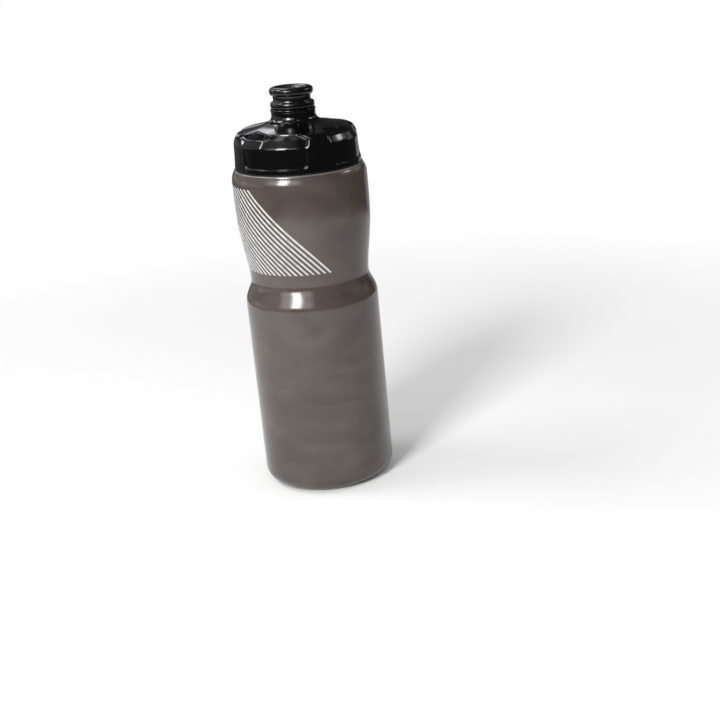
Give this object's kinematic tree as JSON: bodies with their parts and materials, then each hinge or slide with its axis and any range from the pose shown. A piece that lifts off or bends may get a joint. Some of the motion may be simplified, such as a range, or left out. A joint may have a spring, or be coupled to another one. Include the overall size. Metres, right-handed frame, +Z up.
{
  "type": "sports water bottle",
  "caption": "Squeezable waisted water bottle with a threaded neck, a screw lid with grip pockets and a push-pull spout.",
  "frame": {"origin": "centre of the base's standing ring, on the surface that the bottle stands on", "axes": "+Z up along the bottle's axis towards the spout; -Y is the side that faces the camera, with the printed stripes to its left"},
  "size_m": [0.074, 0.074, 0.2255],
  "materials": {
    "body_smoke": "translucent smoke-coloured soft plastic with a low gloss",
    "lid_gloss": "glossy black",
    "insert": "semi-gloss black",
    "mouthpiece_soft": "satin black soft-touch",
    "seal": "matte grey"
  },
  "bodies": {
    "bottle": {"bottle_body": "body_smoke"},
    "seal": {"lid_gasket": "seal"},
    "lid": {"cap_shell": "lid_gloss", "valve_post": "insert"},
    "spout": {"nozzle_sleeve": "insert", "nozzle_oring": "seal", "mouthpiece": "mouthpiece_soft"}
  },
  "joints": [
    {"name": "lid_lift", "type": "slide", "parent": "bottle", "child": "seal", "axis": [0, 0, 1], "range_m": [0, 0.0181]},
    {"name": "lid_twist", "type": "hinge", "parent": "seal", "child": "lid", "pos_m": [0, 0, 0.19], "axis": [0, 0, 1], "range_deg": [0, 1080]},
    {"name": "spout_slide", "type": "slide", "parent": "lid", "child": "spout", "axis": [0, 0, 1], "range_m": [0, 0.007]}
  ],
  "couplings": [
    {"joint": "lid_lift", "follows": "lid_twist", "m_per_rad": 0.00095493}
  ]
}
